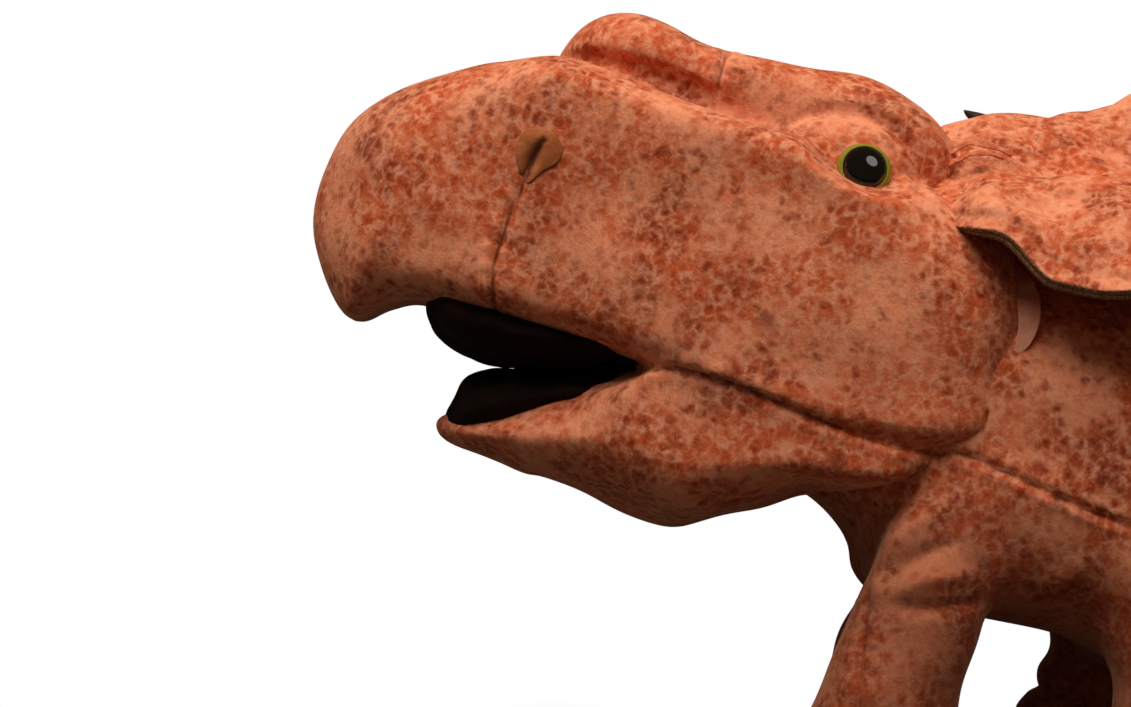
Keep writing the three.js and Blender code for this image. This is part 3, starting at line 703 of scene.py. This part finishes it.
centres = body_skin.p[body_skin.f].mean(1)
towards_head = (centres - NECK_START) @ NECK_NORMAL
region = np.full(len(centres), "torso", dtype="<U16")
region[towards_head > 0] = "neck_back"
region[towards_head > NECK_MIDDLE] = "neck_front"
region[centres[:, 0] > TAIL_START] = "tail"
for leg in LEGS:
    x, y, z = centres.T
    reach = np.hypot((x - leg.centre_x(z)) / (LEG_MARGIN * table(leg.along, z)),
                     (y - leg.side * leg.y) / (LEG_MARGIN * table(leg.across, z)))
    low = (z < LEG_START) & ((reach < 1) | (z < FEET_BELOW))
    region[low & (np.sign(y) == leg.side) & ((x < LEG_PARTING) == leg.fore)] = leg.name
belly = (region == "torso") & (np.abs(centres[:, 1]) < 13) & (centres[:, 2] < 66) & (centres[:, 0] > -44)
region[belly] = "belly"


covers = {name: make_object(f"{name}_skin", body_skin.part(region == name),
                            BELLY if name == "belly" else PRINT)
          for name in ("torso", "neck_back", "neck_front", "tail", "belly", *(leg.name for leg in LEGS))}
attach(covers["torso"], "torso")
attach(covers["belly"], "torso")
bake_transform(covers["neck_back"])
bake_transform(covers["neck_front"])
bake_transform(covers["tail"])
for leg in LEGS:
    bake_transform(covers[leg.name])


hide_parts("head_side_left", "head_side_right", "head_filling", "boss_cover", "boss_filling",
            "brow_fold_left", "brow_fold_right")
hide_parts("throat_cover", "throat_filling", "jaw_cover", "jaw_filling")
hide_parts("torso_side_left", "torso_side_right", "torso_filling")
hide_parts("belly_gusset")
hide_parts("neck_gusset", "neck_filling")
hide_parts("tail_cover", "tail_filling")
for leg in LEGS:
    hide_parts(f"{leg.name}_cover", f"{leg.name}_filling")


# ---- mouth linings ----
PALATE_SIDE = [
    (-172, 95.5), (-168, 88), (-160, 84.6), (-152, 83.9), (-140, 86), (-125, 90.5), (-115, 93.5),
    (-111, 97), (-117, 102), (-172, 102),
]
TONGUE_SIDE = [
    (-112, 90), (-118, 84), (-150, 65.5), (-157, 66), (-158.9, 69), (-159.2, 72.5), (-158.2, 77),
    (-155.6, 80.6), (-151, 83.0), (-145, 85), (-132, 88.8), (-120, 92.2), (-114, 93),
]


def lining(name, side, low, high, half_width, body, node):
    b = Block(low, high)
    skin = Skin(*b.mesh(b.inflate(side, half_width(b.x), 12, 2.2))).smooth(2)
    skin.lumps(0.5, 12, seed=9)
    skin.rest, skin.n = skin.p.copy(), skin.normals()
    piece = make_object(f"{name}_sewn", skin.part(np.ones(len(skin.f), bool)), BLACK)
    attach(piece, body)
    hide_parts(node)


lining("palate_lining", PALATE_SIDE, (-176, -40, 80), (-106, 40, 106),
       lambda x: table(HEAD_HALF, x) * 0.86, "head", "palate_lining")
lining("jaw_lining", TONGUE_SIDE, (-162, -40, 58), (-106, 40, 98),
       lambda x: table(JAW_HALF, x) * 0.88, "jaw", "jaw_lining")


# ---- small parts built from rings of points ----
def ring_mesh(rings):
    """A skin over equal rings of points (mm), with its ends closed by a fan."""
    rings = np.asarray(rings, float)
    count, around = rings.shape[:2]
    points = list(rings.reshape(-1, 3))
    faces = []
    for i in range(count - 1):
        for j in range(around):
            k = (j + 1) % around
            faces.append((i * around + j, i * around + k, (i + 1) * around + k, (i + 1) * around + j))
    for i, flip in ((0, True), (count - 1, False)):
        points.append(rings[i].mean(0))
        tip = len(points) - 1
        for j in range(around):
            a, b = i * around + j, i * around + (j + 1) % around
            faces.append((b, a, tip) if flip else (a, b, tip))
    return np.array(points), faces


def plain_object(name, points, faces, material):
    """A Blender object from points in mm, with its cloth place stored for the print."""
    points = np.asarray(points, float)
    mesh = bpy.data.meshes.new(name)
    mesh.from_pydata([tuple(p * MM) for p in points], [], [tuple(int(i) for i in f) for f in faces])
    mesh.polygons.foreach_set("use_smooth", [True] * len(mesh.polygons))
    rest = mesh.attributes.new("rest", "FLOAT_VECTOR", "POINT")
    rest.data.foreach_set("vector", (points * MM).astype(np.float32).ravel())
    for key in ("seam", "shade"):
        mesh.attributes.new(key, "FLOAT", "POINT")
    mesh.materials.append(material)
    mesh.validate()
    mesh.update()
    obj = bpy.data.objects.new(name, mesh)
    bpy.context.scene.collection.objects.link(obj)
    return obj


def side_name(side):
    return "left" if side < 0 else "right"


def lathe(profile, place, axis, around=48):
    """Rings of a turned profile: (radius, height) pairs along the axis from place."""
    axis = Vector(axis).normalized()
    u = axis.orthogonal().normalized()
    v = axis.cross(u)
    angles = np.linspace(0, 2 * math.pi, around, endpoint=False)
    rings = [[Vector(place) + h * axis + r * (math.cos(a) * u + math.sin(a) * v) for a in angles]
             for r, h in profile]
    return np.array([[tuple(p) for p in ring] for ring in rings])


# ---- eyes: a glossy black pupil dome in an olive ring, on a shank with a washer inside the head ----
def add_eye(side):
    axis = (0, side * math.cos(math.radians(14)), math.sin(math.radians(14)))
    place = Vector((-79.6, side * 32.2, 153.2))
    ring = [(0.8, -3.0), (2.6, -3.0), (2.6, 0.8), (5.9, 0.9), (6.5, 1.5), (6.6, 2.4), (6.2, 3.3),
            (5.6, 3.9), (5.3, 3.9), (5.15, 3.4), (5.1, 2.6)]
    dome = [(5.0, 2.7), (5.05, 3.7)] + [(5.05 * math.cos(a), 3.7 + 1.9 * math.sin(a))
                                        for a in np.linspace(0.12, 1.5, 12)]
    washer = [(2.9, -5.5), (8, -5.5), (8.2, -4.6), (7.6, -4.1), (2.9, -4.1)]
    for name, profile, material, slot in (("iris_cup", ring, IRIS, "eye_iris"),
                                          ("pupil", dome, PUPIL, "eye_pupil"),
                                          ("washer", washer, WASHER, "eye_washer")):
        points, faces = ring_mesh(lathe(profile, place, axis))
        piece = plain_object(f"eye_{side_name(side)}_{name}_moulded", points, faces, material)
        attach(piece, "head")
        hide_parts(f"eye_{side_name(side)}_{name}")


# ---- frill: two cloths over a thin batting, sewn together at a raw edge, with soft horns and points ----
def frill_point(s, h):
    """A point of the frill's middle layer: s from foot to rim, h from left (-1) to right (1)."""
    a = np.abs(h)
    reach = s * (1 + 0.035 * np.cos(5 * math.pi * a) * s)
    x = (-60 + 3 * a ** 2) * (1 - reach) + (34 - 26 * a ** 2) * reach
    foot_half = 38 + 10 * step(s, -0.02, 0.14)
    y = foot_half * h * (1 - reach) + 79 * np.sin(1.45 * h) * reach
    z = (166 - 20 * a ** 2) * (1 - reach) + (190 - 42 * a ** 1.6) * reach
    z = z + (6 + 17 * s) * np.exp(-(y / 14) ** 2)
    valley = np.exp(-((np.abs(y) - 21 - 8 * s) / 9) ** 2)
    z = z - (1.5 + 9 * np.maximum(s, 0)) * valley - 70 * np.maximum(-s, 0)
    dip = step(s, 0.14, 0.38) * (1 - step(s, 0.48, 0.95))
    z = z - 8 * dip * step(a, 0.6, 1.0)
    return np.stack([x, y, z], -1)


def frill_normal(s, h):
    e = 0.01
    along = frill_point(s + e, h) - frill_point(s - e, h)
    across = frill_point(s, h + e) - frill_point(s, h - e)
    n = np.cross(along, across)
    return n / np.linalg.norm(n, axis=-1, keepdims=True)


def frill_cloth(name, face, back, columns=180, rows=80):
    """One closed layer of the frill: its printed face and back, and the raw edge round it."""
    s, h = np.meshgrid(np.linspace(-0.13, 1, rows), np.linspace(-1, 1, columns), indexing="ij")
    inwards = np.minimum((1 - s) * 80, (1 - np.abs(h)) * 65)
    puff = step(inwards, 0, 9)
    stitch = np.exp(-((inwards - 4.5) / 1.1) ** 2)
    sheets = []
    for height in (face, back):
        outer = abs(height) > 1.2
        lift = height * (0.55 + 0.45 * puff) if outer else height * (0.35 + 0.65 * puff)
        ripple = (noise_3d(frill_point(s, h), 9.0, seed=21) * 0.5
                  + noise_3d(frill_point(s, h), 24.0, seed=22) * 1.3)
        offset = lift + ripple * puff - (0.5 * stitch * math.copysign(1, height) if outer else 0)
        sheets.append(frill_point(s, h) + frill_normal(s, h) * offset[..., None])
    count = rows * columns
    points = np.concatenate([sheet.reshape(-1, 3) for sheet in sheets])
    index = np.arange(count).reshape(rows, columns)
    top = np.stack([index[:-1, :-1], index[1:, :-1], index[1:, 1:], index[:-1, 1:]], -1).reshape(-1, 4)
    rim = np.concatenate([index[0, :-1], index[:-1, -1], index[-1, :0:-1], index[:0:-1, 0]])
    around = np.stack([rim, np.roll(rim, -1), np.roll(rim, -1) + count, rim + count], -1)
    faces = np.concatenate([top, top[:, ::-1] + count, around])
    if np.sign(face - back) < 0:
        faces = faces[:, ::-1]
    obj = plain_object(name, points, faces, PRINT)
    obj.data.materials.append(EDGE)
    slots = np.zeros(len(faces), np.int32)
    slots[-len(around):] = 1
    slots[len(top):2 * len(top)] = 1
    obj.data.polygons.foreach_set("material_index", slots)
    # Painted shade along the stitch line near the rim, where the cloth is drawn in.
    edges = obj.data.attributes["shade"]
    edges.data.foreach_set("value", np.concatenate([0.25 * stitch.ravel()] * 2).astype(np.float32))
    return obj


def noise_3d(points, size, seed):
    """A smooth random field between about -1 and 1, from a few seeded waves."""
    waves = np.random.default_rng(seed)
    total = 0
    for _ in range(10):
        direction = waves.normal(size=3)
        direction *= 2 * math.pi / size * waves.uniform(0.55, 1.3) / np.linalg.norm(direction)
        total = total + np.sin(points @ direction + waves.uniform(0, 6.28))
    return total / 10 ** 0.5


def add_frill():
    for name, face, back, nodes in (("frill_front_cloth", 2.6, 0.5, ("frill_front_cloth", "frill_batting")),
                                    ("frill_back_cloth", -2.6, -0.5, ("frill_back_cloth",))):
        cloth = frill_cloth(f"{name}_sewn", face, back)
        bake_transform(cloth)
        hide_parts(*nodes)


# ---- soft horns: tapered, bent a little, round-tipped ----
def soft_horn(name, root, direction, length, radius, material, flat=1.0, bend=0.0, sink=3.0):
    direction = Vector(direction).normalized()
    side = direction.cross(Vector((1, 0, 0.3))).normalized()
    other = direction.cross(side)
    rings = []
    angles = np.linspace(0, 2 * math.pi, 28, endpoint=False)
    heights = np.concatenate([np.linspace(-sink, length * 0.9, 16),
                              length * (0.9 + 0.1 * np.sin(np.linspace(0.3, 1.5, 6)))])
    for height in heights:
        t = max(height, 0) / length
        r = radius * (1 - t) ** 0.62 * (1 - 0.12 * t)
        middle = Vector(root) + float(height) * direction + float(bend * length * t ** 2) * other
        rings.append([tuple(middle + float(r * math.cos(a)) * side + float(r * flat * math.sin(a)) * other)
                      for a in angles])
    points, faces = ring_mesh(rings)
    points = points + noise_3d(points, 7.0, seed=len(name))[:, None] * 0.25
    piece = plain_object(f"{name}_sewn", points, faces, material)
    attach(piece, "frill")
    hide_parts(name)


def add_horns():
    for side in (-1, 1):
        for i, share in enumerate((0.3, 0.52, 0.74, 0.94)):
            s, h = np.array(1.0), np.array(side * share)
            rim = frill_point(s, h)
            out = rim - frill_point(np.array(0.8), h)
            out /= np.linalg.norm(out)
            if i == 0:
                soft_horn(f"frill_horn_{side_name(side)}", rim - out, out + (0, side * 0.9, 0.5), 27, 7.2,
                          HORN, bend=0.12)
            else:
                soft_horn(f"frill_point_{side_name(side)}_{i}", rim - out, out + (0, side * 0.1, 0),
                          11 - i, 5.4, PRINT, flat=0.45)
    for i, (s, lean, length) in enumerate(((0.095, -2.2, 6.5), (0.42, 0.8, 6), (0.68, 0.5, 7))):
        at, zero = np.array(s), np.array(0.0)
        root = frill_point(at, zero) + frill_normal(at, zero) * 1.2
        soft_horn(f"frill_ridge_horn_{i + 1}", root, frill_normal(at, zero) + (lean, 0, 0), length, 4.2,
                  HORN if i == 0 else PRINT, flat=0.55)


# ---- cheek tabs and nostril patches ----
def thin_patch(name, outline, surface, thickness, material, dome, fold, rows):
    """A small cloth patch: rings from its outline to its middle, laid on a surface(x, z) -> y."""
    curve = smooth_curve(outline, True, 6)
    middle = np.asarray(outline, float).mean(0)
    front = []
    for k in range(rows):
        share = 1 - k / rows
        ring = middle + (curve - middle) * share
        lift = thickness + dome * (1 - share ** 2) - fold(ring)
        front.append(np.column_stack([ring[:, 0], surface(ring) + np.sign(surface(ring)) * lift,
                                      ring[:, 1]]))
    y = surface(curve)
    under = np.column_stack([curve[:, 0], y - np.sign(y) * 1.5, curve[:, 1]])
    rings = [under] + front
    points, faces = ring_mesh(rings)
    piece = plain_object(f"{name}_sewn", points, faces, material)
    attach(piece, "head")
    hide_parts(name)
    return piece


head_tree = BVHTree.FromPolygons([tuple(p) for p in head_skin.p], [tuple(f) for f in head_skin.f.tolist()])


def on_head(side):
    def height(places):
        out = []
        for x, z in places:
            hit = head_tree.ray_cast(Vector((x, side * 90, z)), Vector((0, -side, 0)))[0]
            out.append(hit.y if hit else side * 45.0)
        return np.array(out)
    return height


def add_nostril(side):
    outline = [(-155.6, 140.9), (-151.4, 140.6), (-148.7, 137.8), (-149.0, 134.4), (-151.6, 131.6),
               (-154.3, 127.8), (-156.6, 129.6), (-158.9, 133.0), (-159.6, 136.8), (-158.4, 139.7)]
    line = smooth_curve([(-153.6, 138.2), (-154.6, 135.2), (-155.2, 131.8), (-155.6, 126.5)], False, 12)

    def crease(ring):
        gap, _ = distance_to_curve(ring, line)
        return 1.1 * np.exp(-(gap / 0.8) ** 2)

    patch = thin_patch(f"nostril_patch_{side_name(side)}", outline, on_head(side), 0.55, TAN,
                       dome=0.9, fold=crease, rows=22)
    # The nostril's fold line is darkened with the seam mask: painted shade along the crease.
    points = np.array([v.co for v in patch.data.vertices]) / MM
    gap, _ = distance_to_curve(points[:, [0, 2]], line)
    patch.data.attributes["seam"].data.foreach_set("value", np.exp(-(gap / 0.9) ** 2).astype(np.float32))


def cloth_flap(name, spine, widths, across, out, material, thickness=0.75):
    """A thin flap of cloth along a spine (mm): it is widths wide along across, and stands off along out."""
    curve = smooth_curve(spine, False, 8)
    across, out = np.array(across, float), np.array(out, float)
    rings = []
    for place, t in zip(curve, np.linspace(0, 1, len(curve))):
        width = float(table(widths, np.array(t)))
        ring = []
        for a in np.linspace(0, 2 * math.pi, 20, endpoint=False):
            u, v = (math.copysign(abs(c) ** 0.6, c) for c in (math.cos(a), math.sin(a)))
            curl = 0.35 * width * u * u
            ring.append(place + width * u * across + (thickness * v * (1 - 0.5 * abs(u)) + curl) * out)
        rings.append(ring)
    points, faces = ring_mesh(rings)
    points = points + noise_3d(points, 5.0, seed=len(name))[:, None] * 0.25 * out
    piece = plain_object(name, points, faces, material)
    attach(piece, "head")
    return piece


def add_flaps(side):
    """The raw end of the cheek panel, and the two small ends of cloth where the frill meets the boss."""
    surface = on_head(side)
    spine = [(-38.6, 143.5), (-36.2, 139), (-34.4, 134), (-33.6, 129), (-33.8, 124.5), (-35.4, 120)]
    lift = [0.8, 2.8, 3.8, 3.6, 2.4, 0.4]
    spine = [(x, float(surface(np.array([[x, z]]))[0]) + side * up, z) for (x, z), up in zip(spine, lift)]
    tab = cloth_flap(f"cheek_tab_{side_name(side)}_sewn", spine,
                     [(0, 0.5), (0.12, 2.0), (0.3, 2.7), (0.7, 1.9), (1, 0.5)],
                     (0.95, side * 0.2, 0.2), (0.15, side * 1, 0), TAB)
    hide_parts(f"cheek_tab_{side_name(side)}")
    ends = [(1.0, [(-60, 22, 165), (-56, 23, 168.8), (-51, 23.5, 169.2), (-46, 22.5, 168.4)]),
            (0.8, [(-60, 26, 162), (-56, 27, 165.6), (-52, 27.5, 166.6), (-48, 26, 167)])]
    for i, (width, places) in enumerate(ends):
        places = [(x, side * y, z) for x, y, z in places]
        cloth_flap(f"frill_base_flap_{side_name(side)}_{i + 1}", places,
                   [(0, 0.9), (0.4, width), (0.8, width * 0.6), (1, 0.2)],
                   (0, side * 0.5, -0.85), (-0.2, side * 0.75, 0.6), PRINT, thickness=0.5)


# ---- soles: flat patches of the belly cloth, piped round by the cover's edge ----
def add_sole(leg):
    x, y = leg.x + leg.shift, leg.side * leg.y
    along, across = (19.2, 18.2) if leg.fore else (19.6, 18.7)
    profile = [(0.2, 0.0), (0.6, 0.0), (0.86, 0.0), (0.95, 0.25), (1.0, 1.1), (0.99, 2.2), (0.9, 3.4),
               (0.3, 3.4)]
    rings = []
    for r, z in profile:
        angles = np.linspace(0, 2 * math.pi, 64, endpoint=False)
        rings.append(np.column_stack([x + r * along * np.cos(angles), y + r * across * np.sin(angles),
                                      np.full(64, z)]))
    points, faces = ring_mesh(rings)
    piece = plain_object(f"{leg.name}_sole_sewn", points, faces, BELLY)
    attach(piece, leg.name)
    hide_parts(f"{leg.name}_sole")


TAB = plain_cloth("cheek_tab", srgb(214, 150, 122), srgb(190, 120, 92), tint=srgb(255, 220, 205))
WASHER = glossy("eye_washer", srgb(225, 225, 220), 0.4, 0.0)
add_frill()
add_horns()
for side in (-1, 1):
    add_eye(side)
    add_nostril(side)
    add_flaps(side)
for leg in LEGS:
    add_sole(leg)


# ---- stage, light and camera ----
def area_light(name, place, target, size, watts, colour=(1, 1, 1), glossy=True):
    data = bpy.data.lights.new(name, "AREA")
    data.shape, data.size, data.energy, data.color = "DISK", size, watts, colour
    obj = bpy.data.objects.new(name, data)
    obj.location = place
    obj.rotation_euler = (Vector(target) - Vector(place)).to_track_quat("-Z", "Y").to_euler()
    obj.visible_glossy = glossy
    bpy.context.scene.collection.objects.link(obj)


def stage_floor():
    """A pale floor: it takes the toy's shadow round the feet, and turns plain white further out."""
    bpy.ops.mesh.primitive_plane_add(size=12, location=(0, 0, 0))
    floor = bpy.context.object
    floor.name = "floor"
    s = Shader("floor", 0.9, specular=0.0)
    s.colour((0.86, 0.85, 0.84, 1))
    place = s.node("ShaderNodeTexCoord", out="Object")
    away = s.node("ShaderNodeVectorMath", {0: place}, out="Value", operation="LENGTH")
    white = s.node("ShaderNodeEmission")
    unlit = s.node("ShaderNodeBsdfDiffuse", {"Color": (0.10, 0.09, 0.08, 1)})
    seen = s.node("ShaderNodeMixShader", {0: s.ramp(away, 0.06, 0.13), 1: s.surface.outputs[0], 2: white})
    camera_ray = s.node("ShaderNodeLightPath", out="Is Camera Ray")
    look = s.node("ShaderNodeMixShader", {0: camera_ray, 1: unlit, 2: seen})
    s.tree.links.new(look, s.tree.nodes["Material Output"].inputs["Surface"])
    floor.data.materials.append(s.material)


def world_light():
    world = bpy.data.worlds.new("studio")
    bpy.context.scene.world = world
    world.use_nodes = True
    tree = world.node_tree
    back = tree.nodes["Background"]
    back.inputs["Color"].default_value = (1, 1, 1, 1)
    back.inputs["Strength"].default_value = 1.0
    dim = tree.nodes.new("ShaderNodeBackground")
    dim.inputs["Color"].default_value = (1, 0.64, 0.4, 1)
    dim.inputs["Strength"].default_value = 0.075
    ray = tree.nodes.new("ShaderNodeLightPath")
    mix = tree.nodes.new("ShaderNodeMixShader")
    tree.links.new(ray.outputs["Is Camera Ray"], mix.inputs[0])
    tree.links.new(dim.outputs[0], mix.inputs[1])
    tree.links.new(back.outputs[0], mix.inputs[2])
    tree.links.new(mix.outputs[0], tree.nodes["World Output"].inputs["Surface"])


stage_floor()
world_light()
area_light("key", (-0.46, -0.36, 1.0), (-0.07, 0, 0.12), 1.2, 16, (1, 0.94, 0.88), glossy=False)
area_light("fill", (-0.35, -1.3, 0.4), (-0.12, 0, 0.12), 1.2, 0.5, (1, 0.72, 0.52), glossy=False)
area_light("front", (-1.3, -0.15, 0.25), (-0.1, 0, 0.12), 0.6, 0.5, (1, 0.86, 0.76))
area_light("window", (0.2, -0.8, 1.1), (-0.08, 0, 0.15), 0.55, 1.4)

# The camera looks along +Y from the toy's left, level, and rolled so that the nose points up to the left.
ROLL, DISTANCE, AIM = math.radians(17), 0.6, Vector((-0.135, 0, 0.092))
AZIMUTH = math.radians(1.5)
SENSOR, IMAGE_WIDTH, PIXELS_PER_METRE = 36, 1131, 4000  # mm, pixels, and the scale at the toy's middle
camera = bpy.data.objects.new("camera", bpy.data.cameras.new("camera"))
camera.data.sensor_width = SENSOR
camera.data.lens = SENSOR * PIXELS_PER_METRE / IMAGE_WIDTH * DISTANCE
camera.data.clip_start = 0.01
along = Vector((math.cos(AZIMUTH), math.sin(AZIMUTH), 0))
away = Vector((math.sin(AZIMUTH), -math.cos(AZIMUTH), 0))
right = math.cos(ROLL) * along + math.sin(ROLL) * Vector((0, 0, 1))
up = -math.sin(ROLL) * along + math.cos(ROLL) * Vector((0, 0, 1))
camera.matrix_world = Matrix((right, up, away)).transposed().to_4x4()
camera.matrix_world.translation = AIM + DISTANCE * away
bpy.context.scene.collection.objects.link(camera)
bpy.context.scene.camera = camera
bpy.context.scene.view_settings.view_transform = "Standard"
